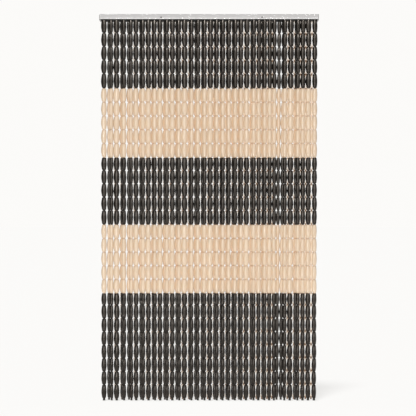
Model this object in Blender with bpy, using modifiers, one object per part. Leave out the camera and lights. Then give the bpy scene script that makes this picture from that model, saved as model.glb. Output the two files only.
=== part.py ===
"""Door curtain: strands of spindle-shaped PVC links on a three-track aluminium rail.

Metres, +Z up, +X to the right as seen from the room, the room on the -Y side.
The origin is the centre of the rail's back face, which lies on the wall.
"""
import math
from collections import namedtuple

import bmesh
import bpy
from mathutils import Matrix, Vector

# The curtain as a whole
CURTAIN_WIDTH = 1.200
CURTAIN_DROP = 2.112
GAP = 0.0003

# Rail: an extrusion open below, with three tracks between walls and ribs
RAIL_HEIGHT = 0.0265
RAIL_WALL = 0.0020
RAIL_FACE_WALL = 0.0034
RIB_THICKNESS = 0.0016
RAIL_TOP = RAIL_HEIGHT / 2
RAIL_FOOT = -RAIL_HEIGHT / 2
TOE_REACH = 0.0026
TOE_THICKNESS = 0.0018
ROW_PITCH = 0.0215
ROW_BACK_Y = -0.01175
ROW_MIDDLE_Y = ROW_BACK_Y - ROW_PITCH
ROW_FRONT_Y = ROW_MIDDLE_Y - ROW_PITCH
RAIL_DEPTH = -(ROW_BACK_Y + ROW_FRONT_Y) + RAIL_FACE_WALL - RAIL_WALL

# Front face of the rail, from the top: bevel, band, groove and lip
FACE_BEVEL = 0.0016
GROOVE_TOP = -0.0022
GROOVE_FOOT = -0.0050
GROOVE_DEPTH = 0.0009
LIP_PROUD = 0.0010
LIP_FLARE = 0.0012
LIP_EDGE_HEIGHT = 0.0022

# End caps: a plate over the rail's end with a short leg below its lip
CAP_THICKNESS = 0.0022
CAP_LEG_WIDTH = 0.0075
CAP_LEG_DROP = 0.0065
CAP_BEVEL = 0.0010

# Screws in the rail's groove
SCREW_LEFT_X = -0.2619
SCREW_RIGHT_X = 0.2898
SCREW_Z = (GROOVE_TOP + GROOVE_FOOT) / 2
SCREW_HEAD_RADIUS = 0.0039
SCREW_HEAD_HEIGHT = 0.0016
SCREW_SEAT_DEPTH = 0.0010
SCREW_RECESS_RADIUS = 0.0019
SCREW_RECESS_DEPTH = 0.0010
SCREW_SIDES = 16

# Hook strips: a head that rides on the toes of its track and a block below it
STRIP_HEAD_WIDTH = 0.0174
STRIP_HEAD_HEIGHT = 0.0024
STRIP_BLOCK_WIDTH = 0.0136
STRIP_DROP_BELOW_RAIL = 0.0070
STRIP_END_CLEARANCE = 0.0010
STRIP_SEAM = 0.0006

# Strands: links end to end, each a spindle, drawn a little longer towards the top
LINKS = 28
LINK_RADIUS = 0.0140
NECK_RADIUS = 0.0046
NUB_RADIUS = 0.0048
NUB_LENGTH = 0.0112
LINK_STRETCH = 0.0191
LINK_TOP_BELOW_RAIL_TOP = 0.0225
ROOT_IN_BLOCK = 0.0040
STRAND_SIDES = 3
PLAIN_RADIUS = 0.0100
PLAIN_SHOULDER = 0.0200
DARK_BANDS = ((1, 5), (11, 15), (21, 28))

HOOK_PITCH = 0.03378
FrontStrand = namedtuple("FrontStrand", "hook foot behind_hook behind_foot")
# One row for each front strand, from the left, in millimetres: how far its hook and its foot
# lie to the right of an even spacing, and how far to the right of it the hook and the foot of
# the strand behind it lie, if one hangs there
FRONT_STRANDS = (
    FrontStrand(-1, 0, None, None),
    FrontStrand(-3, -3, 7, 8),
    FrontStrand(1, 2, None, None),
    FrontStrand(7, 7, -7, -6),
    FrontStrand(10, 12, -7, -8),
    FrontStrand(6, 7, None, None),
    FrontStrand(2, 3, 7, 8),
    FrontStrand(6, 7, None, None),
    FrontStrand(8, 7, -5, -5),
    FrontStrand(2, 3, None, None),
    FrontStrand(-2, -2, 7, 8),
    FrontStrand(3, 1, None, None),
    FrontStrand(-2, -6, 6, 9),
    FrontStrand(2, 0, None, None),
    FrontStrand(5, 4, -4, -5),
    FrontStrand(8, 4, -8, -8),
    FrontStrand(9, 6, -7, -7),
    FrontStrand(8, 2, None, None),
    FrontStrand(8, 6, -4, -7),
    FrontStrand(8, 5, -5, -5),
    FrontStrand(7, 3, -5, -4),
    FrontStrand(7, 3, -6, -6),
    FrontStrand(6, 3, -5, -6),
    FrontStrand(4, -2, None, None),
    FrontStrand(8, 4, -7, -8),
    FrontStrand(4, -1, None, None),
    FrontStrand(0, -6, 2, 2),
    FrontStrand(-7, -11, None, None),
    FrontStrand(-13, -16, 22, 12),
    FrontStrand(8, 4, -4, -16),
    FrontStrand(7, 0, None, None),
    FrontStrand(7, -2, 6, 8),
    FrontStrand(7, 2, None, None),
    FrontStrand(2, -3, None, None),
    FrontStrand(3, -2, None, None),
)
# Gaps between front strands, counted from the left, where no beige strand hangs at the back
EMPTY_GAPS = (0, 28)

BLACK_PVC = ("black_pvc", (0.035, 0.031, 0.028, 1.0), 0.32, 0.0)
BEIGE_PVC = ("beige_pvc", (0.76, 0.55, 0.37, 1.0), 0.36, 0.0)
STRIP_PLASTIC = ("strip_plastic", (0.012, 0.011, 0.010, 1.0), 0.50, 0.0)
RAIL_METAL = ("rail_aluminium", (0.62, 0.61, 0.60, 1.0), 0.34, 0.9)
CAP_PLASTIC = ("cap_plastic", (0.50, 0.49, 0.48, 1.0), 0.45, 0.0)
SCREW_STEEL = ("screw_steel", (0.08, 0.08, 0.08, 1.0), 0.30, 0.9)

MM = 0.001


def clear_scene():
    for scene_object in list(bpy.data.objects):
        bpy.data.objects.remove(scene_object, do_unlink=True)


def new_collection(name):
    collection = bpy.data.collections.new(name)
    bpy.context.scene.collection.children.link(collection)
    return collection


def material(spec):
    name, colour, roughness, metallic = spec
    made = bpy.data.materials.get(name)
    if made is None:
        made = bpy.data.materials.new(name)
        made.use_nodes = True
        made.diffuse_color = colour
        shader = made.node_tree.nodes["Principled BSDF"]
        shader.inputs["Base Color"].default_value = colour
        shader.inputs["Roughness"].default_value = roughness
        shader.inputs["Metallic"].default_value = metallic
    return made


def mesh_object(name, mesh, collection, *specs):
    made = bpy.data.objects.new(name, mesh)
    mesh.materials.clear()
    for spec in specs:
        mesh.materials.append(material(spec))
    collection.objects.link(made)
    return made


def hide_tool(made):
    made.hide_render = True
    made.display_type = "WIRE"


def evaluated_mesh(source):
    bpy.context.view_layer.update()
    graph = bpy.context.evaluated_depsgraph_get()
    return bpy.data.meshes.new_from_object(source.evaluated_get(graph))


def extruded_section(name, section, x_low, x_high):
    """A bar along X from a closed outline of (y, z) points."""
    shape = bmesh.new()
    outline = [shape.verts.new((x_low, y, z)) for y, z in section]
    face = shape.faces.new(outline)
    grown = bmesh.ops.extrude_face_region(shape, geom=[face])
    moved = [item for item in grown["geom"] if isinstance(item, bmesh.types.BMVert)]
    bmesh.ops.translate(shape, verts=moved, vec=(x_high - x_low, 0, 0))
    bmesh.ops.recalc_face_normals(shape, faces=shape.faces)
    mesh = bpy.data.meshes.new(name)
    shape.to_mesh(mesh)
    shape.free()
    return mesh


def toe_outline(wall_y, side):
    """The toe at the foot of a wall or rib, on its side +1 or -1, as (y, z) points going down."""
    reach = wall_y + side * TOE_REACH
    toe_top = RAIL_FOOT + TOE_THICKNESS
    return [(wall_y, toe_top), (reach, toe_top), (reach, RAIL_FOOT)]


def rail_section():
    """The rail's outline, from the back's top corner down the back, under the tracks and up the face."""
    ceiling = RAIL_TOP - RAIL_WALL
    front = -RAIL_DEPTH
    rib_half = RIB_THICKNESS / 2
    section = [(0, RAIL_TOP), (0, RAIL_FOOT)]
    section += toe_outline(-RAIL_WALL, -1)[::-1]
    section += [(-RAIL_WALL, ceiling)]
    for rib in ((ROW_BACK_Y + ROW_MIDDLE_Y) / 2, (ROW_MIDDLE_Y + ROW_FRONT_Y) / 2):
        section += [(rib + rib_half, ceiling)]
        section += toe_outline(rib + rib_half, 1)
        section += toe_outline(rib - rib_half, -1)[::-1]
        section += [(rib - rib_half, ceiling)]
    section += [(front + RAIL_FACE_WALL, ceiling)]
    section += toe_outline(front + RAIL_FACE_WALL, 1)
    section += [
        (front, RAIL_FOOT),
        (front, RAIL_FOOT + LIP_EDGE_HEIGHT),
        (front + LIP_FLARE, GROOVE_FOOT),
        (front + LIP_PROUD + GROOVE_DEPTH, GROOVE_FOOT),
        (front + LIP_PROUD + GROOVE_DEPTH, GROOVE_TOP),
        (front + LIP_PROUD, GROOVE_TOP),
        (front + LIP_PROUD, RAIL_TOP - FACE_BEVEL),
        (front + LIP_PROUD + FACE_BEVEL, RAIL_TOP),
    ]
    return section


def make_rail(collection):
    half = CURTAIN_WIDTH / 2 - CAP_THICKNESS - GAP
    mesh = extruded_section("rail", rail_section(), -half, half)
    rail = mesh_object("rail", mesh, collection, RAIL_METAL)
    for screw_x in (SCREW_LEFT_X, SCREW_RIGHT_X):
        cut_screw_seat(rail, screw_x)
    return rail


def seat_floor_y():
    return -RAIL_DEPTH + LIP_PROUD + SCREW_SEAT_DEPTH


def cylinder(name, radius, length, collection, spec):
    """A round bar along Y, centred on its object's origin."""
    shape = bmesh.new()
    turn = Matrix.Rotation(math.pi / 2, 4, "X")
    bmesh.ops.create_cone(
        shape,
        cap_ends=True,
        segments=SCREW_SIDES,
        radius1=radius,
        radius2=radius,
        depth=length,
        matrix=turn,
    )
    mesh = bpy.data.meshes.new(name)
    shape.to_mesh(mesh)
    shape.free()
    return mesh_object(name, mesh, collection, spec)


def cut_screw_seat(rail, screw_x):
    """A shallow round seat in the rail's face for a screw's head, open through the lip."""
    length = 2 * (SCREW_SEAT_DEPTH + LIP_PROUD)
    cutter = cylinder("screw_seat", SCREW_HEAD_RADIUS + GAP, length, cutters(), RAIL_METAL)
    cutter.location = (screw_x, seat_floor_y() - length / 2, SCREW_Z)
    hide_tool(cutter)
    add_boolean(rail, "DIFFERENCE", cutter)


def add_boolean(target, operation, tool):
    cut = target.modifiers.new(operation.lower(), "BOOLEAN")
    cut.operation = operation
    cut.solver = "EXACT"
    cut.object = tool


def cutters():
    return bpy.data.collections["cutters"]


def make_screw(screw_x, name, collection):
    head = cylinder(name, SCREW_HEAD_RADIUS, SCREW_HEAD_HEIGHT, collection, SCREW_STEEL)
    head.location = (screw_x, seat_floor_y() - GAP - SCREW_HEAD_HEIGHT / 2, SCREW_Z)
    recess = cylinder(
        "screw_recess", SCREW_RECESS_RADIUS, 2 * SCREW_RECESS_DEPTH, cutters(), SCREW_STEEL
    )
    recess.location = head.location - Vector((0, SCREW_HEAD_HEIGHT / 2, 0))
    hide_tool(recess)
    add_boolean(head, "DIFFERENCE", recess)
    return head


def make_end_cap(side, name, collection):
    """A plate over the rail's end, with its foot widened into the leg seen below the lip."""
    outer = side * CURTAIN_WIDTH / 2
    inner = outer - side * CAP_THICKNESS
    leg_inner = outer - side * CAP_LEG_WIDTH
    leg_top = RAIL_FOOT - GAP
    leg_foot = RAIL_FOOT - CAP_LEG_DROP
    outline = [
        (outer, RAIL_TOP),
        (inner, RAIL_TOP),
        (inner, leg_top),
        (leg_inner, leg_top),
        (leg_inner, leg_foot),
        (outer, leg_foot),
    ]
    shape = bmesh.new()
    face = shape.faces.new([shape.verts.new((x, 0, z)) for x, z in outline])
    grown = bmesh.ops.extrude_face_region(shape, geom=[face])
    moved = [item for item in grown["geom"] if isinstance(item, bmesh.types.BMVert)]
    bmesh.ops.translate(shape, verts=moved, vec=(0, -RAIL_DEPTH, 0))
    bmesh.ops.recalc_face_normals(shape, faces=shape.faces)
    rim = [edge for edge in shape.edges if all(abs(vert.co.x - outer) < GAP for vert in edge.verts)]
    bmesh.ops.bevel(shape, geom=rim, offset=CAP_BEVEL, segments=1, affect="EDGES")
    mesh = bpy.data.meshes.new(name)
    shape.to_mesh(mesh)
    shape.free()
    return mesh_object(name, mesh, collection, CAP_PLASTIC)


def strip_section(row_y):
    """A hook strip's T outline: the head above the toes, the block down through the slot."""
    head_foot = RAIL_FOOT + TOE_THICKNESS + GAP
    head_top = head_foot + STRIP_HEAD_HEIGHT
    block_foot = RAIL_FOOT - STRIP_DROP_BELOW_RAIL
    head_half = STRIP_HEAD_WIDTH / 2
    block_half = STRIP_BLOCK_WIDTH / 2
    right_side = [
        (head_half, head_top),
        (head_half, head_foot),
        (block_half, head_foot),
        (block_half, block_foot),
    ]
    left_side = [(-y, z) for y, z in reversed(right_side)]
    return [(row_y + y, z) for y, z in right_side + left_side]


def link_ends():
    """The height of each joint between links, from the top of the first to the foot of the last."""
    top = RAIL_TOP - LINK_TOP_BELOW_RAIL_TOP
    foot = RAIL_TOP - CURTAIN_DROP + NUB_LENGTH
    mean = (top - foot) / LINKS
    heights = [top]
    for link in range(LINKS):
        from_middle = (LINKS - 1) / 2 - link
        stretch = 1 + LINK_STRETCH * 2 * from_middle / (LINKS - 1)
        heights.append(heights[-1] - mean * stretch)
    return heights


def root_height():
    return RAIL_FOOT - STRIP_DROP_BELOW_RAIL + ROOT_IN_BLOCK


def beaded_profile():
    """Radius and height down a strand of links: wide at each link's middle, narrow where two meet."""
    ends = link_ends()
    profile = [(NECK_RADIUS, root_height())]
    for upper, lower in zip(ends, ends[1:]):
        profile.append((LINK_RADIUS, (upper + lower) / 2))
        profile.append((NECK_RADIUS, lower))
    profile[-1] = (NUB_RADIUS, ends[-1])
    profile.append((NUB_RADIUS, RAIL_TOP - CURTAIN_DROP))
    return profile


def plain_profile():
    """A strand at its links' mean thickness, for the rows whose links are too many to be cut."""
    shoulder = root_height() - PLAIN_SHOULDER
    foot = RAIL_TOP - CURTAIN_DROP
    return [
        (NECK_RADIUS, root_height()),
        (PLAIN_RADIUS, shoulder),
        (PLAIN_RADIUS, foot + PLAIN_SHOULDER),
        (NUB_RADIUS, foot),
    ]


def turned_strand(name, profile, *specs):
    """A strand turned about Z from its profile, closed at both ends on the axis."""
    shape = bmesh.new()
    points = [(0.0, profile[0][1])] + profile + [(0.0, profile[-1][1])]
    line = [shape.verts.new((radius, 0, height)) for radius, height in points]
    for upper, lower in zip(line, line[1:]):
        shape.edges.new((upper, lower))
    mesh = bpy.data.meshes.new(name)
    shape.to_mesh(mesh)
    shape.free()
    guide = mesh_object(name, mesh, cutters(), *specs)
    turning = guide.modifiers.new("turning", "SCREW")
    turning.steps = STRAND_SIDES
    turning.render_steps = STRAND_SIDES
    turning.use_merge_vertices = True
    turning.merge_threshold = 0.0001
    turned = evaluated_mesh(guide)
    bpy.data.objects.remove(guide, do_unlink=True)
    return turned


def paint_bands(mesh):
    """The beige bands take the second material, by each face's link."""
    ends = link_ends()
    for polygon in mesh.polygons:
        link = sum(polygon.center.z < height for height in ends[:LINKS])
        dark = any(first <= max(link, 1) <= last for first, last in DARK_BANDS)
        polygon.material_index = 0 if dark else 1


def hang_strand(name, mesh, hook_x, foot_x, row_y, collection):
    """A strand from its hook to its foot, with one corner of its section towards the room."""
    strand = bpy.data.objects.new(name, mesh)
    collection.objects.link(strand)
    centre_shift = LINK_RADIUS * (1 - math.cos(math.pi / STRAND_SIDES)) / 2
    length = root_height() - (RAIL_TOP - CURTAIN_DROP)
    lean = math.atan2(foot_x - hook_x, length)
    pivot = Matrix.Translation((hook_x, row_y + centre_shift, root_height()))
    swing = Matrix.Rotation(-lean, 4, "Y")
    corner_forward = Matrix.Rotation(-math.pi / 2, 4, "Z")
    lift = Matrix.Translation((0, 0, -root_height()))
    strand.matrix_world = pivot @ swing @ corner_forward @ lift
    hide_tool(strand)


def make_row(name, row_y, x_low, x_high, places, mesh, collection, *specs):
    """A hook strip with its strands fused to it; places are (hook x, foot x) pairs."""
    strip_mesh = extruded_section(name, strip_section(row_y), x_low, x_high)
    row = mesh_object(name, strip_mesh, collection, STRIP_PLASTIC, *specs)
    strands = new_collection(name + "_strands")
    for number, (hook_x, foot_x) in enumerate(places):
        hang_strand(f"{name}_{number:02d}", mesh, hook_x, foot_x, row_y, strands)
    fuse = row.modifiers.new("fuse", "BOOLEAN")
    fuse.operation = "UNION"
    fuse.solver = "EXACT"
    fuse.operand_type = "COLLECTION"
    fuse.collection = strands
    fuse.material_mode = "TRANSFER"
    return row


def front_places():
    places = []
    for number, strand in enumerate(FRONT_STRANDS):
        even = (number - (len(FRONT_STRANDS) - 1) / 2) * HOOK_PITCH
        places.append((even + strand.hook * MM, even + strand.foot * MM))
    return places


def middle_places():
    return [
        (hook + strand.behind_hook * MM, foot + strand.behind_foot * MM)
        for (hook, foot), strand in zip(front_places(), FRONT_STRANDS)
        if strand.behind_hook is not None
    ]


def back_places():
    front = front_places()
    return [
        ((left[0] + right[0]) / 2, (left[1] + right[1]) / 2)
        for gap, (left, right) in enumerate(zip(front, front[1:]))
        if gap not in EMPTY_GAPS
    ]


def make_strands(collection):
    beaded = turned_strand("beaded_strand", beaded_profile(), BLACK_PVC, BEIGE_PVC)
    paint_bands(beaded)
    plain_banded = turned_strand("plain_banded", plain_profile(), BLACK_PVC, BEIGE_PVC)
    plain_beige = turned_strand("plain_beige", plain_profile(), BEIGE_PVC)
    strip_end = CURTAIN_WIDTH / 2 - CAP_LEG_WIDTH - STRIP_END_CLEARANCE
    front = front_places()
    seam = (front[len(front) // 2][0] + front[len(front) // 2 + 1][0]) / 2
    left = [place for place in front if place[0] < seam]
    right = [place for place in front if place[0] > seam]
    half_seam = STRIP_SEAM / 2
    make_row("strands_front_left", ROW_FRONT_Y, -strip_end, seam - half_seam, left,
             beaded, collection, BLACK_PVC, BEIGE_PVC)
    make_row("strands_front_right", ROW_FRONT_Y, seam + half_seam, strip_end, right,
             beaded, collection, BLACK_PVC, BEIGE_PVC)
    make_row("strands_middle", ROW_MIDDLE_Y, -strip_end, strip_end, middle_places(),
             plain_banded, collection, BLACK_PVC, BEIGE_PVC)
    make_row("strands_back", ROW_BACK_Y, -strip_end, strip_end, back_places(),
             plain_beige, collection, BEIGE_PVC)


def main():
    clear_scene()
    curtain = new_collection("pvc_strip_curtain")
    new_collection("cutters")
    make_rail(curtain)
    make_end_cap(-1, "end_cap_left", curtain)
    make_end_cap(1, "end_cap_right", curtain)
    make_screw(SCREW_LEFT_X, "screw_left", curtain)
    make_screw(SCREW_RIGHT_X, "screw_right", curtain)
    make_strands(curtain)


main()
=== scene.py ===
"""Looks of the door curtain: strands of PVC links that hang from a three-track aluminium rail.

Metres, +Z up, +X to the right as seen from the room, the room on the -Y side.
"""
import math
from collections import namedtuple

import bpy
import numpy as np
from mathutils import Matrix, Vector


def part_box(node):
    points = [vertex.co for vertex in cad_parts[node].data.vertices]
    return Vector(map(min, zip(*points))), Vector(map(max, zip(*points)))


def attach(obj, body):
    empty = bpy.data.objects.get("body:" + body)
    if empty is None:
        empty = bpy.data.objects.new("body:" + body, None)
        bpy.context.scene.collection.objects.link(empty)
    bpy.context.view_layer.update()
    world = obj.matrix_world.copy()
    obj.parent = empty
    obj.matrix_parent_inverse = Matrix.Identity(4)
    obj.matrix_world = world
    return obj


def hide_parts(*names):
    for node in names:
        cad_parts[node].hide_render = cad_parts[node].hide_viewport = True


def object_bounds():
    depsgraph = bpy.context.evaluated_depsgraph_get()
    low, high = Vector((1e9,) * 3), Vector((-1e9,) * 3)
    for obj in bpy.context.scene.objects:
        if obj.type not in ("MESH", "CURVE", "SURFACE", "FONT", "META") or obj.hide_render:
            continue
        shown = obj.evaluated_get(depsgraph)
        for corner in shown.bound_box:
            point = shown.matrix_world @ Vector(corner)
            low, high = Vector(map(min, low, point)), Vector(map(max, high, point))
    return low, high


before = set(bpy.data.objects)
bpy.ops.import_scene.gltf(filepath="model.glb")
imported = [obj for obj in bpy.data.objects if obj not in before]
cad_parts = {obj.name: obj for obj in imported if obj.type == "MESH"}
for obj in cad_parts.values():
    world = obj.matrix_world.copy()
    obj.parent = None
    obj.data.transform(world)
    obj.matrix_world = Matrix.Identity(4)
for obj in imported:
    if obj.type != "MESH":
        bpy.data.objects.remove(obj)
cad_low, cad_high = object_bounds()

MM = 0.001
SEED = 11

# Places that the solids share
rail_low, rail_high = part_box("rail")
back_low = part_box("strands_back")[0]
RAIL_TOP = rail_high.z
RAIL_FOOT = rail_low.z
FOOT = back_low.z
ROW_PITCH = 0.0215
ROW_BACK_Y = -0.01175
ROW_MIDDLE_Y = ROW_BACK_Y - ROW_PITCH
ROW_FRONT_Y = ROW_MIDDLE_Y - ROW_PITCH

# Strands: links end to end. The first link is longer than the mean by the stretch and wider by
# the growth, as shares, and the last one shorter and narrower by as much. A beige link is so
# many times as long as a black one
LINKS = 28
DARK_BANDS = ((1, 5), (11, 15), (21, 28))
LINK_TOP_BELOW_RAIL_TOP = 0.0225
NUB_LENGTH = 0.0112
LINK_STRETCH = 0.0191
BEIGE_STRETCH = 1.008
WIDTH_GROWTH = 0.055

# Links: their width at the belly (the front strands' is in their table), their depth, their
# width at the neck in single strands, in pairs and in the back row, and their number of sides
MIDDLE_WIDTH = 0.0230
BACK_WIDTH = 0.0243
LINK_DEPTH = 0.0206
NECK_WIDTH = 0.0140
PAIR_NECK_WIDTH = 0.0115
BACK_NECK_WIDTH = 0.0085
FRONT_SIDES = 12
MIDDLE_SIDES = 10
BACK_SIDES = 8

# How far the necks lie to the right of the bellies, and the back row of the gaps' middles
NECK_SHIFT = 0.0010
BACK_SHIFT = 0.0040

# Unevenness: turns of strands and links, the sway of joints, and shares of the width
TURN_SPREAD = math.radians(4)
SWAY = 0.0004
LINK_WIDTH_SPREAD = 0.008
STRAND_WIDTH_SPREAD = 0.02

# In millimetres, how far below its regular place each of these joints hangs, counted from 0 at
# the first link's top. The joints between two of them follow a straight line
JointDrop = namedtuple("JointDrop", "joint drop")
JOINT_DROPS = (
    JointDrop(0, 0), JointDrop(1, 2.5), JointDrop(4, -1),
    JointDrop(5, 4), JointDrop(6, 4.5), JointDrop(9, 4.5), JointDrop(10, 6),
    JointDrop(11, 3), JointDrop(14, -0.5),
    JointDrop(15, 2.5), JointDrop(16, 4.5), JointDrop(19, 5.5), JointDrop(20, 6.5),
    JointDrop(21, -0.5), JointDrop(27, -3), JointDrop(28, -1),
)

# One row for each front strand, from the left, in millimetres: how far its hook and its foot
# lie to the right of an even spacing, how wide its links are, and how far to the right of it
# the hook and the foot of the strand behind it lie, if one hangs there
HOOK_PITCH = 0.03385
FrontStrand = namedtuple("FrontStrand", "hook foot width behind_hook behind_foot")
FRONT_STRANDS = (
    FrontStrand(-0.5, 0.5, 30, None, None),
    FrontStrand(5.5, 8, 22, -12, -17),
    FrontStrand(1, 2, 33, None, None),
    FrontStrand(8, 8.5, 25.5, -11, -11),
    FrontStrand(12, 15, 22, -12, -16),
    FrontStrand(6, 7, 29.5, None, None),
    FrontStrand(10, 11.5, 25.5, -11, -13),
    FrontStrand(6, 6.5, 30, None, None),
    FrontStrand(5.5, 8.5, 25.5, -6, -9.5),
    FrontStrand(1.5, 2.5, 29.5, None, None),
    FrontStrand(6, 6.5, 25.5, -9.5, -12.5),
    FrontStrand(2.5, 1, 29.5, None, None),
    FrontStrand(3.5, 5, 25.5, -8, -13),
    FrontStrand(2, -0.5, 33, None, None),
    FrontStrand(6, 4, 25.5, -6, -8.5),
    FrontStrand(8.5, 4.5, 25.5, -10.5, -10.5),
    FrontStrand(10, 7, 25.5, -8.5, -11.5),
    FrontStrand(8, 2, 32.5, None, None),
    FrontStrand(8, 8, 25.5, -4.5, -11.5),
    FrontStrand(8.5, 6, 25.5, -7, -7.5),
    FrontStrand(7.5, 4, 25.5, -5, -7),
    FrontStrand(9, 4.5, 25.5, -8, -9.5),
    FrontStrand(6, 4.5, 25.5, -4, -8.5),
    FrontStrand(4, -2, 31, None, None),
    FrontStrand(9, 5, 25.5, -8.5, -11.5),
    FrontStrand(3, -2, 26.5, None, None),
    FrontStrand(0.5, -2.5, 25.5, -5.5, -6.5),
    FrontStrand(-6, -10.5, 26, None, None),
    FrontStrand(-14, -19, 25, 27.5, 17),
    FrontStrand(10, 5, 25, -5.5, -19),
    FrontStrand(8, -0.5, 33.5, None, None),
    FrontStrand(14, 9, 25.5, -7, -12.5),
    FrontStrand(6.5, 2.5, 27.5, None, None),
    FrontStrand(3, -2, 30.5, None, None),
    FrontStrand(3.5, -2.5, 27.5, None, None),
)
# How many of them the left one of the two front solids holds
LEFT_STRANDS = 18
# Gaps between front strands, counted from 0 at the left, where no strand hangs in the back row
EMPTY_GAPS = (0, 28)

# A link from the hollow of its mouth, over the rim, down to its nub: how far down, as a share of
# its length, and how much of the way from the neck's width to the full width
Ring = namedtuple("Ring", "down bulge")
LINK_RINGS = (
    Ring(0.060, -0.150),
    Ring(0.026, 0.050),
    Ring(0.040, 0.390),
    Ring(0.060, 0.500),
    Ring(0.110, 0.590),
    Ring(0.190, 0.700),
    Ring(0.275, 0.820),
    Ring(0.365, 0.910),
    Ring(0.455, 0.972),
    Ring(0.545, 1.000),
    Ring(0.640, 0.962),
    Ring(0.735, 0.825),
    Ring(0.800, 0.725),
    Ring(0.865, 0.645),
    Ring(0.920, 0.570),
    Ring(0.955, 0.430),
    Ring(0.976, 0.140),
    Ring(1.000, 0.000),
    Ring(1.045, 0.000),
)

# Hook strips, from their foot below the rail to a little above the rail's foot
STRIP_HALF_WIDTH = 0.0068
STRIP_DROP = 0.0070
STRIP_HEAD_RISE = 0.0018
STRIP_ROUNDING = 0.0018
STRIP_ROUNDING_STEPS = 4

# Rounding of the solids' sharp edges
EDGE_ROUNDING = 0.0003
SCREW_EDGE_ROUNDING = 0.0002
ROUNDING_SEGMENTS = 2
SHARP_ANGLE = math.radians(40)

# The photograph's view: the width seen at the rail's face, and its middle. It reaches far enough
# to see the floor's far edge
VIEW_WIDTH = 2.2726
VIEW_DISTANCE = 6.5
VIEW_X = -0.0057
VIEW_Z = -1.0456
VIEW_REACH = 400
SENSOR = 36.0


# Strands

def is_dark(link):
    return any(first <= link + 1 <= last for first, last in DARK_BANDS)


def link_ends():
    """The height of each joint between links, from the top of the first to the foot of the last."""
    top = RAIL_TOP - LINK_TOP_BELOW_RAIL_TOP
    foot = FOOT + NUB_LENGTH
    lengths = np.linspace(1 + LINK_STRETCH, 1 - LINK_STRETCH, LINKS)
    lengths *= [1 if is_dark(link) else BEIGE_STRETCH for link in range(LINKS)]
    down = np.concatenate(((0,), np.cumsum(lengths) / np.sum(lengths)))
    drop = np.interp(range(LINKS + 1), *zip(*JOINT_DROPS))
    return top + (foot - top) * down - drop * MM


def front_places():
    """Where each front strand's hook and foot lie, along X."""
    places = []
    for number, strand in enumerate(FRONT_STRANDS):
        even = (number - (len(FRONT_STRANDS) - 1) / 2) * HOOK_PITCH
        places.append((even + strand.hook * MM, even + strand.foot * MM))
    return places


def middle_places():
    """Where the hooks and feet of the strands behind the front ones lie."""
    return [
        (hook + strand.behind_hook * MM, foot + strand.behind_foot * MM)
        for (hook, foot), strand in zip(front_places(), FRONT_STRANDS)
        if strand.behind_hook is not None
    ]


def back_places():
    """Where the hooks and feet of the strands in the gaps lie."""
    front = front_places()
    return [
        ((left[0] + right[0]) / 2 + BACK_SHIFT, (left[1] + right[1]) / 2 + BACK_SHIFT)
        for gap, (left, right) in enumerate(zip(front, front[1:]))
        if gap not in EMPTY_GAPS
    ]


# A link from joint to joint, with half its widths at belly and neck and a tone from 0 to 1
Link = namedtuple("Link", "top foot half_width half_neck turn tone number")


def strand_links(place, row_y, width, neck, dice):
    """A strand's links from its hook to its foot, each from joint to joint."""
    ends = link_ends()
    down = (ends[0] - ends) / (ends[0] - ends[-1])
    hook, foot = place
    joint_x = hook + (foot - hook) * down + dice.normal(0, SWAY, LINKS + 1)
    joint_y = row_y + dice.normal(0, SWAY, LINKS + 1)
    joints = np.stack((joint_x, joint_y, ends), axis=-1)
    turn = dice.uniform(-TURN_SPREAD, TURN_SPREAD)
    links = []
    for number in range(LINKS):
        middle_down = (down[number] + down[number + 1]) / 2
        grown = 1 + WIDTH_GROWTH * (1 - 2 * middle_down)
        half_width = width / 2 * grown * dice.normal(1, LINK_WIDTH_SPREAD)
        link_turn = turn + dice.uniform(-TURN_SPREAD, TURN_SPREAD)
        tone = dice.uniform(0, 1)
        links.append(Link(joints[number], joints[number + 1], half_width, neck / 2,
                          link_turn, tone, number))
    return links


def link_points(links, sides, last_nub):
    """Rings of points down each link with a pole at both ends, and how far down each point is."""
    count, rings = len(links), len(LINK_RINGS)
    down = np.tile([ring.down for ring in LINK_RINGS], (count, 1))
    for row, link in enumerate(links):
        if link.number == LINKS - 1:
            down[row, -1] = last_nub
    bulge = np.array([ring.bulge for ring in LINK_RINGS])
    top = np.array([link.top for link in links])[:, None]
    foot = np.array([link.foot for link in links])[:, None]
    centre = top + (foot - top) * down[:, :, None]
    centre[:, :, 0] += NECK_SHIFT * (1 - bulge ** 2)
    half_width = np.array([link.half_width for link in links])[:, None]
    half_neck = np.array([link.half_neck for link in links])[:, None]
    # The corners reach out beyond the oval, so that the flat sides between them keep its girth
    corner_reach = math.pi / sides / math.sin(math.pi / sides)
    half_x = corner_reach * (half_neck + (half_width - half_neck) * bulge)
    half_y = corner_reach * (half_neck + (LINK_DEPTH / 2 - half_neck) * bulge)
    angle = np.arange(sides) * 2 * math.pi / sides
    across = half_x[:, :, None] * np.cos(angle)
    deep = half_y[:, :, None] * np.sin(angle)
    turn = np.array([link.turn for link in links])[:, None, None]
    points = np.empty((count, rings, sides, 3))
    points[..., 0] = centre[:, :, None, 0] + across * np.cos(turn) - deep * np.sin(turn)
    points[..., 1] = centre[:, :, None, 1] + across * np.sin(turn) + deep * np.cos(turn)
    points[..., 2] = centre[:, :, None, 2]
    with_poles = np.concatenate((points.reshape(count, -1, 3), centre[:, (0, -1)]), axis=1)
    along = np.concatenate((np.repeat(down, sides, axis=1), down[:, (0, -1)]), axis=1)
    return with_poles.reshape(-1, 3), along.ravel()


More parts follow.
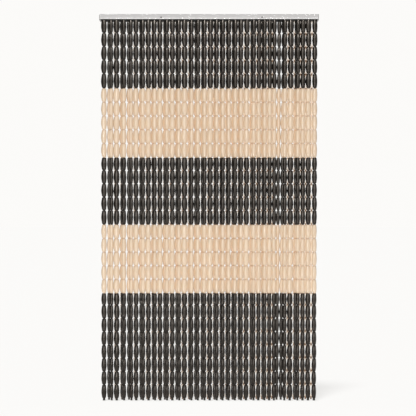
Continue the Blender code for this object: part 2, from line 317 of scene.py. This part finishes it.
def link_faces(sides):
    """One link's corners face by face, the corners that each face has, and each corner's UV."""
    rings = len(LINK_RINGS)
    down = np.array([ring.down for ring in LINK_RINGS])
    ring, side = np.meshgrid(np.arange(rings - 1), np.arange(sides), indexing="ij")
    upper, lower = ring * sides, (ring + 1) * sides
    after = (side + 1) % sides
    quads = np.stack((upper + side, lower + side, lower + after, upper + after), axis=-1)
    quad_u = np.stack((side, side, side + 1, side + 1), axis=-1) / sides
    quad_v = np.stack((down[ring], down[ring + 1], down[ring + 1], down[ring]), axis=-1)
    flat = np.arange(sides)
    next_flat = (flat + 1) % sides
    last_ring = (rings - 1) * sides
    mouth_pole = np.full(sides, rings * sides)
    mouth = np.stack((flat, next_flat, mouth_pole), axis=-1)
    nub = np.stack((last_ring + next_flat, last_ring + flat, mouth_pole + 1), axis=-1)
    tri_u = np.tile(np.repeat(flat / sides, 3), 2)
    tri_v = np.repeat((down[0], 1.0), 3 * sides)
    corners = np.concatenate((quads.ravel(), mouth.ravel(), nub.ravel()))
    sizes = np.repeat((4, 3), ((rings - 1) * sides, 2 * sides))
    u = np.concatenate((quad_u.ravel(), tri_u))
    v = np.concatenate((quad_v.ravel(), tri_v))
    return corners, sizes, np.stack((u, v), axis=-1)


def links_mesh(name, links, sides, last_nub):
    """All the links as one mesh. Each point knows its link's tone and band and its place on it."""
    points, along = link_points(links, sides, last_nub)
    link_corners, link_sizes, link_uv = link_faces(sides)
    count = len(links)
    per_link = len(points) // count
    corners = link_corners + (np.arange(count) * per_link)[:, None]
    sizes = np.tile(link_sizes, count)
    starts = np.concatenate(((0,), np.cumsum(sizes)[:-1]))
    mesh = bpy.data.meshes.new(name)
    mesh.vertices.add(len(points))
    mesh.vertices.foreach_set("co", points.astype(np.float32).ravel())
    mesh.loops.add(corners.size)
    mesh.loops.foreach_set("vertex_index", corners.astype(np.int32).ravel())
    mesh.polygons.add(len(sizes))
    mesh.polygons.foreach_set("loop_start", starts.astype(np.int32))
    mesh.update(calc_edges=True)
    mesh.polygons.foreach_set("use_smooth", np.ones(len(sizes), bool))
    uv_map = mesh.uv_layers.new(name="around_along")
    uv_map.uv.foreach_set("vector", np.tile(link_uv, (count, 1)).astype(np.float32).ravel())
    for title, values in (
        ("link_tone", np.repeat([link.tone for link in links], per_link)),
        ("dark_band", np.repeat([float(is_dark(link.number)) for link in links], per_link)),
        ("along", along),
    ):
        attribute = mesh.attributes.new(title, "FLOAT", "POINT")
        attribute.data.foreach_set("value", values.astype(np.float32))
    mesh.validate()
    mesh.update()
    return mesh


def add_piece(name, mesh, material, node):
    piece = bpy.data.objects.new(name, mesh)
    mesh.materials.append(material)
    bpy.context.scene.collection.objects.link(piece)
    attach(piece, "root")
    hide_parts(node)


# Materials

# A colour mix node's sockets by number, because their names repeat
MIX_FACTOR, MIX_FIRST, MIX_SECOND, MIX_RESULT = 0, 6, 7, 2

# The range that most of a noise's values lie in
NOISE_LOW = 0.3
NOISE_HIGH = 0.7
NOISE_ROUGHNESS = 0.55

# Noises: how fine, how much denser along X, Y and Z, and how detailed
Noise = namedtuple("Noise", "scale density detail")
BLACK_CLOUD = Noise(70, (1, 1, 0.4), 3.0)
BEIGE_CLOUD = Noise(60, (1, 1, 0.4), 3.0)
LINK_STREAK = Noise(420, (1, 1, 0.06), 2.0)
DIE_LINES = Noise(900, (0.01, 1, 1), 2.0)
RAIL_CLOUD = Noise(14, (0.4, 1, 1), 3.0)

# Finishes: between which two values the roughness runs, and how strong and deep the relief is
Finish = namedtuple("Finish", "smooth rough relief relief_depth")
BLACK_FINISH = Finish(0.09, 0.13, 0.08, 0.0003)
BEIGE_FINISH = Finish(0.10, 0.14, 0.10, 0.0003)
THIN_FINISH = Finish(0.30, 0.42, 0.35, 0.0003)
RAIL_FINISH = Finish(0.34, 0.46, 0.30, 0.0002)

# Colours that a look lies between
Tones = namedtuple("Tones", "deep pale")
BLACK = Tones((0.0026, 0.0020, 0.0014, 1), (0.0062, 0.0050, 0.0038, 1))
# The middle row's black is painted paler than the front's, a painted light that lifts the shade the
# front row casts on it
LIGHTENED_BLACK = Tones((0.0150, 0.0135, 0.0120, 1), (0.0230, 0.0210, 0.0190, 1))
BEIGE = Tones((0.755, 0.600, 0.437, 1), (0.825, 0.680, 0.510, 1))
THIN_WHITE = Tones((0.92, 0.90, 0.87, 1), (0.96, 0.94, 0.92, 1))
# The back row's sand in the beige bands is a painted shade in the gaps between the beige links
THIN_SAND_SHADE = Tones((0.80, 0.64, 0.47, 1), (0.86, 0.71, 0.54, 1))
# Brown at the back row's necks: partly the thicker plastic there, partly painted shade, deepest in
# the black bands
THIN_JOINT_AND_SHADE = Tones((0.26, 0.15, 0.08, 1), (0.74, 0.60, 0.46, 1))
RAIL_FACE = Tones((0.84, 0.83, 0.825, 1), (0.92, 0.91, 0.905, 1))
# The brown at both ends of a beige link is painted shade where the links meet
BEIGE_END_SHADE = (0.72, 0.54, 0.38, 1)
THIN_SHOULDER = (0.82, 0.70, 0.57, 1)
# The rail's lip is painted lighter than its face, a painted highlight
RAIL_LIP_HIGHLIGHT = (0.96, 0.955, 0.95, 1)
BLACK_SHINE_TINT = (1.0, 0.90, 0.80, 1)

# Levels at places along a link, with straight lines in between. A black link shines least just
# beside its joints and most at its upper shoulder. The others mark the painted shade at the
# ends of a beige link, and the shoulders and the necks of a thin one
Stop = namedtuple("Stop", "along level")
BLACK_SHEEN = (
    Stop(0.03, 0.50), Stop(0.08, 0.20), Stop(0.15, 0.58),
    Stop(0.34, 0.62), Stop(0.48, 0.38), Stop(0.68, 0.38),
    Stop(0.84, 0.48), Stop(0.93, 0.20), Stop(0.97, 0.50),
)
BEIGE_END_SHADE_STOPS = (Stop(0.03, 1), Stop(0.12, 0), Stop(0.95, 0), Stop(1.0, 1))
THIN_SHOULDERS = (Stop(0.12, 1), Stop(0.36, 0), Stop(0.64, 0), Stop(0.88, 1))
THIN_NECK = (Stop(0.05, 1), Stop(0.13, 0), Stop(0.90, 0), Stop(0.97, 1))

# How much the plastics bend, mirror and let through light, and how metallic the rail is
PVC_IOR = 1.53
BEIGE_SHEEN = 1.0
BEIGE_LET_THROUGH = 0.22
THIN_LET_THROUGH = 0.6
RAIL_METALLIC = 0.85

# How dense the thin plastic is: at a belly and at a shoulder in the height of the black bands,
# and at least everywhere in the height of the beige ones, where it is part of a painted shade
THIN_BELLY = 0.15
THIN_DENSE = 0.55
THIN_SHADE_IN_BEIGE = 0.7

# Over these heights above its foot the painted highlight on the rail's lip fades into its face
LIP_HIGHLIGHT_LOW = 0.0034
LIP_HIGHLIGHT_HIGH = 0.0042

# Looks with one fine grain, which changes their tone and roughness and gives them relief
GrainedLook = namedtuple("GrainedLook", "name grain tones finish metallic sheen")
STRIP_PLASTIC = GrainedLook(
    "strip_plastic_look", Noise(300, (1, 1, 1), 3.0),
    Tones((0.010, 0.009, 0.008, 1), (0.020, 0.018, 0.016, 1)),
    Finish(0.40, 0.58, 0.2, 0.0002), 0.0, 0.2)
CAP_PLASTIC = GrainedLook(
    "cap_plastic_look", Noise(500, (1, 1, 1), 3.0),
    Tones((0.40, 0.39, 0.38, 1), (0.47, 0.46, 0.45, 1)),
    Finish(0.40, 0.52, 0.25, 0.0001), 0.0, 0.5)
SCREW_STEEL = GrainedLook(
    "screw_steel_look", Noise(1500, (1, 1, 1), 3.0),
    Tones((0.16, 0.15, 0.145, 1), (0.26, 0.25, 0.24, 1)),
    Finish(0.26, 0.40, 0.2, 0.0001), 0.9, 0.5)


class Nodes:
    """A material's node tree, with short calls to add and join nodes."""

    def __init__(self, name):
        self.material = bpy.data.materials.new(name)
        self.material.use_nodes = True
        self.tree = self.material.node_tree
        self.shader = self.tree.nodes["Principled BSDF"]
        self.output = self.tree.nodes["Material Output"]

    def add(self, kind, **settings):
        node = self.tree.nodes.new(kind)
        for name, value in settings.items():
            setattr(node, name, value)
        return node

    def put(self, value, socket):
        """Sets a socket to a number or colour, or joins another node's output to it."""
        if isinstance(value, (int, float, tuple)):
            socket.default_value = value
        else:
            self.tree.links.new(value, socket)

    def set(self, **values):
        """Puts values into the main shader's sockets, named with _ for each blank."""
        for name, value in values.items():
            self.put(value, self.shader.inputs[name.replace("_", " ")])

    def attribute(self, name):
        return self.add("ShaderNodeAttribute", attribute_name=name).outputs["Fac"]

    def noise(self, noise):
        """One of the noises above, fixed to the piece."""
        place = self.add("ShaderNodeTexCoord").outputs["Object"]
        mapping = self.add("ShaderNodeMapping")
        self.put(place, mapping.inputs["Vector"])
        self.put(noise.density, mapping.inputs["Scale"])
        texture = self.add("ShaderNodeTexNoise")
        self.put(mapping.outputs["Vector"], texture.inputs["Vector"])
        self.put(noise.scale, texture.inputs["Scale"])
        self.put(noise.detail, texture.inputs["Detail"])
        self.put(NOISE_ROUGHNESS, texture.inputs["Roughness"])
        return texture.outputs["Fac"]

    def between(self, value, low, high, from_low=0.0, from_high=1.0):
        """Runs from low to high while the value runs over its own range."""
        ranged = self.add("ShaderNodeMapRange")
        self.put(value, ranged.inputs["Value"])
        self.put(from_low, ranged.inputs["From Min"])
        self.put(from_high, ranged.inputs["From Max"])
        self.put(low, ranged.inputs["To Min"])
        self.put(high, ranged.inputs["To Max"])
        return ranged.outputs["Result"]

    def math(self, operation, first, second):
        node = self.add("ShaderNodeMath", operation=operation)
        self.put(first, node.inputs[0])
        self.put(second, node.inputs[1])
        return node.outputs["Value"]

    def mix(self, factor, first, second):
        node = self.add("ShaderNodeMix", data_type="RGBA")
        self.put(factor, node.inputs[MIX_FACTOR])
        self.put(first, node.inputs[MIX_FIRST])
        self.put(second, node.inputs[MIX_SECOND])
        return node.outputs[MIX_RESULT]

    def mix_shaders(self, factor, first, second):
        node = self.add("ShaderNodeMixShader")
        self.put(factor, node.inputs[0])
        self.put(first, node.inputs[1])
        self.put(second, node.inputs[2])
        return node.outputs["Shader"]

    def levels(self, value, stops):
        """A grey level that runs from stop to stop along the value."""
        node = self.add("ShaderNodeValToRGB")
        ramp = node.color_ramp
        while len(ramp.elements) < len(stops):
            ramp.elements.new(0.5)
        for element, stop in zip(ramp.elements, stops):
            element.position = stop.along
            element.color = (stop.level, stop.level, stop.level, 1)
        self.put(value, node.inputs["Fac"])
        return node.outputs["Color"]

    def roughen(self, noise, finish, from_low=0.0, from_high=1.0):
        self.set(Roughness=self.between(noise, finish.smooth, finish.rough, from_low, from_high))

    def emboss(self, noise, finish):
        node = self.add("ShaderNodeBump")
        self.put(finish.relief, node.inputs["Strength"])
        self.put(finish.relief_depth, node.inputs["Distance"])
        self.put(noise, node.inputs["Height"])
        self.set(Normal=node.outputs["Normal"])

    def let_through(self, colour, share):
        """The main shader with a share of the light let through it."""
        through = self.add("ShaderNodeBsdfTranslucent")
        self.put(colour, through.inputs["Color"])
        return self.mix_shaders(share, self.shader.outputs["BSDF"], through.outputs["BSDF"])

    def finish_with(self, shader):
        self.put(shader, self.output.inputs["Surface"])


def link_depth(nodes, cloud):
    """Each link's own tone and a soft cloud, in equal parts."""
    tone = nodes.attribute("link_tone")
    return nodes.math("ADD", nodes.math("MULTIPLY", tone, 0.5),
                      nodes.math("MULTIPLY", cloud, 0.5))


def black_pvc(name, tones):
    nodes = Nodes(name)
    cloud = nodes.noise(BLACK_CLOUD)
    nodes.set(Base_Color=nodes.mix(link_depth(nodes, cloud), *tones), IOR=PVC_IOR,
              Specular_IOR_Level=nodes.levels(nodes.attribute("along"), BLACK_SHEEN),
              Specular_Tint=BLACK_SHINE_TINT)
    nodes.roughen(cloud, BLACK_FINISH, NOISE_LOW, NOISE_HIGH)
    nodes.emboss(nodes.noise(LINK_STREAK), BLACK_FINISH)
    return nodes.material


def beige_pvc():
    """Beige plastic that lets a little light through; painted shade browns both ends of a link."""
    nodes = Nodes("beige_pvc_look")
    cloud = nodes.noise(BEIGE_CLOUD)
    body = nodes.mix(link_depth(nodes, cloud), *BEIGE)
    # Painted shade: both ends of a link turn brown where it meets the next
    ends = nodes.levels(nodes.attribute("along"), BEIGE_END_SHADE_STOPS)
    colour = nodes.mix(ends, body, BEIGE_END_SHADE)
    nodes.set(Base_Color=colour, IOR=PVC_IOR, Specular_IOR_Level=BEIGE_SHEEN)
    nodes.roughen(cloud, BEIGE_FINISH, NOISE_LOW, NOISE_HIGH)
    nodes.emboss(nodes.noise(LINK_STREAK), BEIGE_FINISH)
    nodes.finish_with(nodes.let_through(colour, BEIGE_LET_THROUGH))
    return nodes.material


def pale_pvc():
    """The back row's thin plastic, which light shines through.

    In the height of the black bands it is white, nearly clear at the bellies, denser at the
    shoulders and brown at the necks, partly the thicker plastic there and partly painted shade. In
    the height of the beige bands it is sandy and denser, a painted shade in the gaps between the
    beige links.
    """
    nodes = Nodes("pale_pvc_look")
    tone = nodes.attribute("link_tone")
    along = nodes.attribute("along")
    dark_band = nodes.attribute("dark_band")
    # In the beige bands the sand is a painted shade in the gaps between the beige links
    body = nodes.mix(dark_band, nodes.mix(tone, *THIN_SAND_SHADE), nodes.mix(tone, *THIN_WHITE))
    shoulder = nodes.levels(along, THIN_SHOULDERS)
    neck = nodes.levels(along, THIN_NECK)
    # The necks' brown is partly the thick plastic and partly painted shade
    joint = nodes.mix(dark_band, THIN_JOINT_AND_SHADE.pale, THIN_JOINT_AND_SHADE.deep)
    colour = nodes.mix(neck, nodes.mix(shoulder, body, THIN_SHOULDER), joint)
    nodes.set(Base_Color=colour, IOR=PVC_IOR)
    nodes.roughen(nodes.noise(BEIGE_CLOUD), THIN_FINISH, NOISE_LOW, NOISE_HIGH)
    nodes.emboss(nodes.noise(LINK_STREAK), THIN_FINISH)
    # In the beige bands the denser film is part of the painted shade
    film = nodes.math("MAXIMUM", nodes.between(shoulder, THIN_BELLY, THIN_DENSE),
                      nodes.between(dark_band, THIN_SHADE_IN_BEIGE, 0.0))
    density = nodes.math("MAXIMUM", film, neck)
    clear = nodes.add("ShaderNodeBsdfTransparent").outputs["BSDF"]
    lit_through = nodes.let_through(colour, THIN_LET_THROUGH)
    nodes.finish_with(nodes.mix_shaders(density, clear, lit_through))
    return nodes.material


def rail_aluminium():
    """Satin anodised aluminium: fine die lines along the rail, a painted highlight along its lip.
    """
    nodes = Nodes("rail_aluminium_look")
    die = nodes.noise(DIE_LINES)
    split = nodes.add("ShaderNodeSeparateXYZ")
    place = nodes.add("ShaderNodeNewGeometry").outputs["Position"]
    nodes.put(place, split.inputs["Vector"])
    # Painted highlight: the colour turns lighter on the lip, below these heights
    lip = nodes.between(split.outputs["Z"], 1, 0, RAIL_FOOT + LIP_HIGHLIGHT_LOW, RAIL_FOOT + LIP_HIGHLIGHT_HIGH)
    nodes.set(Base_Color=nodes.mix(lip, nodes.mix(die, *RAIL_FACE), RAIL_LIP_HIGHLIGHT),
              Metallic=RAIL_METALLIC)
    nodes.roughen(nodes.noise(RAIL_CLOUD), RAIL_FINISH, NOISE_LOW, NOISE_HIGH)
    nodes.emboss(die, RAIL_FINISH)
    return nodes.material


def grained(look):
    nodes = Nodes(look.name)
    grain = nodes.noise(look.grain)
    nodes.set(Base_Color=nodes.mix(grain, *look.tones), Metallic=look.metallic,
              Specular_IOR_Level=look.sheen)
    nodes.roughen(grain, look.finish)
    nodes.emboss(grain, look.finish)
    return nodes.material


# Pieces

def make_strands():
    """All the links, drawn from one series of random numbers: front, middle and back row."""
    dice = np.random.default_rng(SEED)
    last_joints = link_ends()[-2:]
    last_nub = 1 + NUB_LENGTH / (last_joints[0] - last_joints[1])
    black = black_pvc("black_pvc_look", BLACK)
    # The middle row's paler black is painted light against the front row's shade
    lightened_black = black_pvc("lightened_black_pvc_look", LIGHTENED_BLACK)
    beige, pale = beige_pvc(), pale_pvc()
    front, middle, back = [], [], []
    for place, strand in zip(front_places(), FRONT_STRANDS):
        neck = NECK_WIDTH if strand.behind_hook is None else PAIR_NECK_WIDTH
        front.append(strand_links(place, ROW_FRONT_Y, strand.width * MM, neck, dice))
    for place in middle_places():
        width = MIDDLE_WIDTH * dice.normal(1, STRAND_WIDTH_SPREAD)
        middle.append(strand_links(place, ROW_MIDDLE_Y, width, PAIR_NECK_WIDTH, dice))
    for place in back_places():
        width = BACK_WIDTH * dice.normal(1, STRAND_WIDTH_SPREAD)
        back.append(strand_links(place, ROW_BACK_Y, width, BACK_NECK_WIDTH, dice))
    for name, strands, node, dark_look, sides in (
        ("front_left", front[:LEFT_STRANDS], "strands_front_left", black, FRONT_SIDES),
        ("front_right", front[LEFT_STRANDS:], "strands_front_right", black, FRONT_SIDES),
        ("middle", middle, "strands_middle", lightened_black, MIDDLE_SIDES),
    ):
        links = [link for strand in strands for link in strand]
        dark = [link for link in links if is_dark(link.number)]
        light = [link for link in links if not is_dark(link.number)]
        add_piece(f"{name}_black_links", links_mesh(f"{name}_black", dark, sides, last_nub),
                  dark_look, node)
        add_piece(f"{name}_beige_links", links_mesh(f"{name}_beige", light, sides, last_nub),
                  beige, node)
    half = len(back) // 2
    for name, strands in (("back_left", back[:half]), ("back_right", back[half:])):
        links = [link for strand in strands for link in strand]
        add_piece(f"{name}_links", links_mesh(name, links, BACK_SIDES, last_nub),
                  pale, "strands_back")


def strip_mesh(name, row_y, x_low, x_high):
    """A hook strip below the rail's lip: a bar with its lower edges rounded."""
    section = [(STRIP_HALF_WIDTH, RAIL_FOOT + STRIP_HEAD_RISE)]
    centre_y = STRIP_HALF_WIDTH - STRIP_ROUNDING
    centre_z = RAIL_FOOT - STRIP_DROP + STRIP_ROUNDING
    for step in range(STRIP_ROUNDING_STEPS + 1):
        turn = step / STRIP_ROUNDING_STEPS * math.pi / 2
        section.append((centre_y + STRIP_ROUNDING * math.cos(turn),
                        centre_z - STRIP_ROUNDING * math.sin(turn)))
    section += [(-y, z) for y, z in reversed(section)]
    count = len(section)
    verts = [(x, row_y + y, z) for x in (x_low, x_high) for y, z in section]
    faces = [tuple(range(count))[::-1], tuple(range(count, 2 * count))]
    for corner in range(count):
        after = (corner + 1) % count
        faces.append((corner, after, count + after, count + corner))
    mesh = bpy.data.meshes.new(name)
    mesh.from_pydata(verts, [], faces)
    mesh.update()
    return mesh


def make_strips():
    plastic = grained(STRIP_PLASTIC)
    for node, row_y in (
        ("strands_front_left", ROW_FRONT_Y), ("strands_front_right", ROW_FRONT_Y),
        ("strands_middle", ROW_MIDDLE_Y), ("strands_back", ROW_BACK_Y),
    ):
        low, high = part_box(node)
        name = node.replace("strands", "hook_strip")
        add_piece(name, strip_mesh(name, row_y, low.x, high.x), plastic, node)


def dress_cad_nodes():
    """The solids that stay as they are get their looks and fine rounded edges."""
    for node, material, width in (
        ("rail", rail_aluminium(), EDGE_ROUNDING),
        ("end_cap_left", grained(CAP_PLASTIC), EDGE_ROUNDING),
        ("end_cap_right", grained(CAP_PLASTIC), EDGE_ROUNDING),
        ("screw_left", grained(SCREW_STEEL), SCREW_EDGE_ROUNDING),
        ("screw_right", grained(SCREW_STEEL), SCREW_EDGE_ROUNDING),
    ):
        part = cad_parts[node]
        part.data.materials.clear()
        part.data.materials.append(material)
        rounding = part.modifiers.new("rounding", "BEVEL")
        rounding.width = width
        rounding.segments = ROUNDING_SEGMENTS
        rounding.limit_method = "ANGLE"
        rounding.angle_limit = SHARP_ANGLE


# Stage, lights and camera

# The floor takes the curtain's shadow. Its glow and floor_sun add up to about the wall's white
FLOOR_DROP = 0.003
FLOOR_SIZE = 120.0
FLOOR_IN_FRONT = 1.5
FLOOR_COLOUR = (0.06, 0.06, 0.06, 1)
FLOOR_GLOW = 0.796
FLOOR_GLOW_COLOUR = (1.0, 0.991, 0.972, 1)

# The white wall that the camera sees, and the world's light, which fades from full to faint as
# its direction turns from the room's side to the wall's
WALL_WHITE = (0.970, 0.961, 0.944, 1.0)
WORLD_LIGHT_COLOUR = (1.0, 0.985, 0.965, 1)
FRONT_LIGHT = 0.40
BACK_LIGHT = 0.04
FULL_LIGHT_Y = -0.6
FAINT_LIGHT_Y = 0.3

# Strip lights: tall, narrow soft boxes a long way off, which draw a streak down each link
STRIP_LIGHT_WIDTH = 2.6
STRIP_LIGHT_HEIGHT = 16.0
STRIP_LIGHT_DISTANCE = 12.0
STRIP_LIGHT_RAISE = 2.5

# Each light is for one group of objects. It stands so many degrees to the left of the camera's
# side, and a sun so many above level. A sun's width is in degrees. A sun without shadows shines
# through what stands in its way, and so do the strip lights
Sun = namedtuple("Sun", "name strength group leftward elevation width shadows")
StripLight = namedtuple("StripLight", "name strength group leftward")
LIGHTS = (
    Sun("key_sun", 0.4, "curtain", 19, 73, 9, True),
    Sun("floor_sun", 8.7, "floor", 19, 73, 9, True),
    Sun("front_sun", 0.6, "plain", 0, 5, 120, False),
    StripLight("left_strip", 2.1, "black", 7),
    StripLight("soft_left_strip", 2.35, "beige", 12),
    Sun("upper_sun", 0.9, "black", 10, 24, 14, False),
    Sun("lower_sun", 0.6, "black", 4, -22, 12, False),
    Sun("right_fill", 0.35, "beige", -48, 10, 60, False),
    Sun("right_glow", 0.7, "black", -38, 4, 76, False),
    Sun("lip_sun", 0.20, "rail", 0, 44, 10, True),
    Sun("back_sun", 3.0, "back_row", 180, 10, 60, False),
)


def make_floor():
    floor_z = cad_low.z - FLOOR_DROP
    half = FLOOR_SIZE / 2
    front = -FLOOR_IN_FRONT
    mesh = bpy.data.meshes.new("floor")
    mesh.from_pydata([(-half, front, floor_z), (half, front, floor_z),
                      (half, half, floor_z), (-half, half, floor_z)], [], [(0, 1, 2, 3)])
    floor = bpy.data.objects.new("floor", mesh)
    nodes = Nodes("floor_look")
    nodes.set(Base_Color=FLOOR_COLOUR, Roughness=1.0, Specular_IOR_Level=0.0,
              Emission_Color=FLOOR_GLOW_COLOUR, Emission_Strength=FLOOR_GLOW)
    mesh.materials.append(nodes.material)
    bpy.context.scene.collection.objects.link(floor)
    return floor


def make_world():
    """Seen white all round; lights the curtain from the room's side, hardly from behind."""
    world = bpy.data.worlds.new("studio")
    bpy.context.scene.world = world
    world.use_nodes = True
    tree = world.node_tree
    seen = tree.nodes["Background"]
    seen.inputs["Color"].default_value = WALL_WHITE
    seen.inputs["Strength"].default_value = 1.0
    lit = tree.nodes.new("ShaderNodeBackground")
    lit.inputs["Color"].default_value = WORLD_LIGHT_COLOUR
    way = tree.nodes.new("ShaderNodeTexCoord")
    split = tree.nodes.new("ShaderNodeSeparateXYZ")
    fade = tree.nodes.new("ShaderNodeMapRange")
    fade.interpolation_type = "SMOOTHSTEP"
    fade.inputs["From Min"].default_value = FAINT_LIGHT_Y
    fade.inputs["From Max"].default_value = FULL_LIGHT_Y
    fade.inputs["To Min"].default_value = BACK_LIGHT
    fade.inputs["To Max"].default_value = FRONT_LIGHT
    tree.links.new(way.outputs["Generated"], split.inputs["Vector"])
    tree.links.new(split.outputs["Y"], fade.inputs["Value"])
    tree.links.new(fade.outputs["Result"], lit.inputs["Strength"])
    path = tree.nodes.new("ShaderNodeLightPath")
    mixed = tree.nodes.new("ShaderNodeMixShader")
    tree.links.new(path.outputs["Is Camera Ray"], mixed.inputs[0])
    tree.links.new(lit.outputs["Background"], mixed.inputs[1])
    tree.links.new(seen.outputs["Background"], mixed.inputs[2])
    tree.links.new(mixed.outputs["Shader"], tree.nodes["World Output"].inputs["Surface"])


def gather(name, items):
    collection = bpy.data.collections.new(name)
    for item in items:
        collection.objects.link(item)
    return collection


def light_groups(floor, curtain):
    """The objects that a light can be for, each group as a collection."""
    black = [item for item in curtain if "black" in item.name]
    beige = [item for item in curtain if "beige" in item.name]
    groups = {
        "floor": [floor],
        "curtain": curtain,
        "beige": beige,
        "black": black,
        "plain": [item for item in curtain if item not in black + beige],
        "back_row": [item for item in curtain if item.name.startswith("back")],
        "rail": [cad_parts["rail"]],
    }
    return {name: gather(f"{name}_only", items) for name, items in groups.items()}


def add_lamp(name, light, place, target):
    lamp = bpy.data.objects.new(name, light)
    bpy.context.scene.collection.objects.link(lamp)
    lamp.location = place
    lamp.rotation_mode = "QUATERNION"
    lamp.rotation_quaternion = (Vector(target) - Vector(place)).to_track_quat("-Z", "Y")
    return lamp


def add_sun(sun):
    leftward, elevation = math.radians(sun.leftward), math.radians(sun.elevation)
    light = bpy.data.lights.new(sun.name, "SUN")
    light.energy = sun.strength
    light.angle = math.radians(sun.width)
    place = (-math.sin(leftward) * math.cos(elevation),
             -math.cos(leftward) * math.cos(elevation),
             math.sin(elevation))
    return add_lamp(sun.name, light, place, (0, 0, 0))


def add_strip_light(strip):
    leftward = math.radians(strip.leftward)
    light = bpy.data.lights.new(strip.name, "AREA")
    light.shape = "RECTANGLE"
    light.size = STRIP_LIGHT_WIDTH
    light.size_y = STRIP_LIGHT_HEIGHT
    light.energy = strip.strength * math.pi * STRIP_LIGHT_DISTANCE ** 2
    middle = (cad_low.z + cad_high.z) / 2
    place = (-math.sin(leftward) * STRIP_LIGHT_DISTANCE,
             -math.cos(leftward) * STRIP_LIGHT_DISTANCE,
             middle + STRIP_LIGHT_RAISE)
    return add_lamp(strip.name, light, place, (0, 0, middle))


def make_lights(floor, curtain):
    """The lights of the table. In those without shadows, one small screw alone casts one."""
    groups = light_groups(floor, curtain)
    screw_alone = gather("no_blockers", [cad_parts["screw_left"]])
    for light in LIGHTS:
        is_sun = isinstance(light, Sun)
        lamp = add_sun(light) if is_sun else add_strip_light(light)
        lamp.light_linking.receiver_collection = groups[light.group]
        if not (is_sun and light.shadows):
            lamp.light_linking.blocker_collection = screw_alone


def make_camera():
    camera = bpy.data.cameras.new("camera")
    camera.sensor_width = SENSOR
    camera.lens = SENSOR * VIEW_DISTANCE / VIEW_WIDTH
    camera.clip_end = VIEW_REACH
    eye = bpy.data.objects.new("camera", camera)
    bpy.context.scene.collection.objects.link(eye)
    eye.location = (VIEW_X, cad_low.y - VIEW_DISTANCE, VIEW_Z)
    eye.rotation_euler = (math.pi / 2, 0, 0)
    bpy.context.scene.camera = eye


def main():
    scene = bpy.context.scene
    scene.view_settings.view_transform = "Standard"
    scene.view_settings.look = "None"
    make_camera()
    make_world()
    floor = make_floor()
    dress_cad_nodes()
    make_strips()
    make_strands()
    curtain = [item for item in scene.objects if item.type == "MESH" and item != floor]
    make_lights(floor, curtain)


main()
